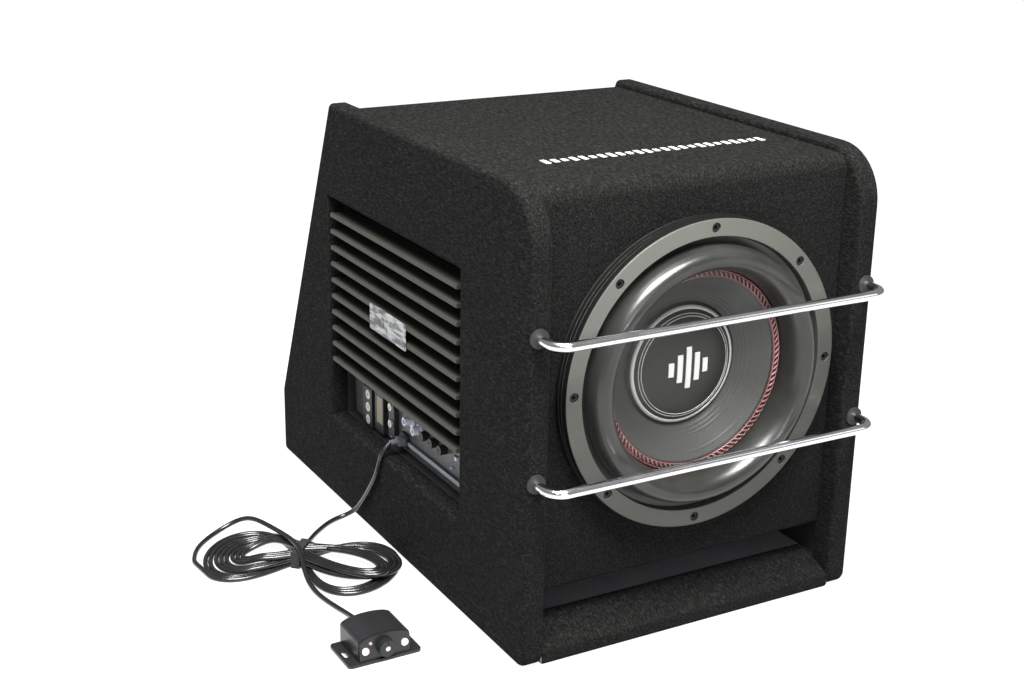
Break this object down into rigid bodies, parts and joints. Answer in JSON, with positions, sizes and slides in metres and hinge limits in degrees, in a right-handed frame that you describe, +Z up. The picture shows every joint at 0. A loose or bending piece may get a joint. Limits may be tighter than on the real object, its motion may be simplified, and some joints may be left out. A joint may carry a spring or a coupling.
{
  "type": "powered car subwoofer",
  "caption": "Carpeted slot-ported enclosure with front driver behind guard bars, side amplifier with finned heatsink and a wired level remote.",
  "frame": {"origin": "centre of the enclosure's flat underside, on the surface it stands on", "axes": "+Z up; -Y the way the driver faces; -X towards the amplifier side"},
  "size_m": [0.513, 0.555, 0.4],
  "materials": {
    "mdf": "bare medium-density fibreboard",
    "carpet": "charcoal non-woven needle-felt carpet, short fibre pile",
    "chrome_bar": "polished chrome",
    "black_rubber": "matt black rubber",
    "basket_paint": "satin grey powder coat",
    "surround_rubber": "glossy dark rubber",
    "cone_pulp": "satin dark coated pulp",
    "red_thread": "red nylon thread",
    "cap_plastic": "satin moulded cap",
    "silver_trim": "bright silver trim",
    "white_trim": "white gloss",
    "former_film": "amber polyimide film",
    "coil_wire": "enamelled copper wire",
    "spider_cloth": "resin-dipped cotton",
    "zinc_steel": "zinc-plated steel",
    "ferrite": "sintered ferrite",
    "black_steel": "black oxide",
    "tray_paint": "matt black powder coat",
    "anodised": "dark anodised extrusion",
    "brushed_panel": "brushed aluminium",
    "black_plastic": "moulded black plastic",
    "chrome_screw": "nickel plate",
    "amber_plastic": "translucent amber plastic",
    "white_plastic": "white plastic",
    "blue_led": "clear tinted lens",
    "red_led": "red tinted lens",
    "circuit_board": "green solder mask",
    "capacitor_sleeve": "shrink sleeve",
    "remote_plastic": "fine-textured black plastic",
    "cable_jacket": "smooth glossy PVC jacket",
    "plug_plastic": "smoked clear plastic"
  },
  "bodies": {
    "box": {"side_panel_left": "mdf", "side_panel_right": "mdf", "side_carpet_left": "carpet", "side_carpet_right": "carpet", "front_baffle": "mdf", "top_panel": "mdf", "rear_panel": "mdf", "rear_foot_panel": "mdf", "bottom_panel": "mdf", "port_shelf": "mdf", "body_carpet": "carpet", "guard_bar_upper": "chrome_bar", "guard_bar_lower": "chrome_bar", "bar_washers": "black_rubber", "driver_gasket": "black_rubber", "basket": "basket_paint", "surround": "surround_rubber", "spider": "spider_cloth", "top_plate": "zinc_steel", "magnet": "ferrite", "pole_plate": "zinc_steel", "driver_screws": "black_steel", "amp_tray": "tray_paint", "amp_cover": "zinc_steel", "heatsink": "anodised", "heatsink_badge": "silver_trim", "connector_panel": "brushed_panel", "power_terminal": "black_plastic", "input_terminal": "black_plastic", "terminal_screws": "chrome_screw", "fuse_holder": "black_plastic", "fuse": "amber_plastic", "rca_jacks": "white_plastic", "power_led": "blue_led", "remote_jack": "black_plastic", "amp_board": "circuit_board", "amp_capacitors": "capacitor_sleeve", "small_screws": "chrome_screw", "remote_base": "remote_plastic", "remote_housing": "remote_plastic", "remote_face": "remote_plastic", "remote_led": "red_led", "cord_plug_amp": "plug_plastic", "cord_lead": "cable_jacket", "cord_hank": "cable_jacket", "cord_tie": "black_rubber", "cord_tail": "cable_jacket", "cord_plug_remote": "plug_plastic"},
    "cone_assembly": {"cone": "cone_pulp", "cone_stitching": "red_thread", "dust_cap": "cap_plastic", "cap_rings": "silver_trim", "cap_badge": "white_trim", "voice_coil_former": "former_film", "voice_coil": "coil_wire"},
    "gain": {"gain_knob": "black_plastic"},
    "lowpass": {"lowpass_knob": "black_plastic"},
    "boost": {"boost_knob": "black_plastic"},
    "phase": {"phase_switch": "white_plastic"},
    "remote_level": {"remote_knob": "remote_plastic"}
  },
  "joints": [
    {"name": "cone_travel", "type": "slide", "parent": "box", "child": "cone_assembly", "axis": [0, 1, 0], "range_m": [-0.009, 0.009], "stiffness_N_per_m": 2500, "deforming": ["surround", "spider"]},
    {"name": "gain_turn", "type": "hinge", "parent": "box", "child": "gain", "pos_m": [-0.1435, -0.039, 0.121], "axis": [-1, 0, 0], "range_deg": [-150, 150]},
    {"name": "lowpass_turn", "type": "hinge", "parent": "box", "child": "lowpass", "pos_m": [-0.1435, -0.057, 0.121], "axis": [-1, 0, 0], "range_deg": [-150, 150]},
    {"name": "boost_turn", "type": "hinge", "parent": "box", "child": "boost", "pos_m": [-0.1435, -0.075, 0.121], "axis": [-1, 0, 0], "range_deg": [-150, 150]},
    {"name": "phase_slide", "type": "slide", "parent": "box", "child": "phase", "axis": [0, 1, 0], "range_m": [0, 0.004]},
    {"name": "remote_level_turn", "type": "hinge", "parent": "box", "child": "remote_level", "pos_m": [-0.2585, -0.1924, 0.013], "axis": [0, -1, 0], "range_deg": [-150, 150]}
  ]
}
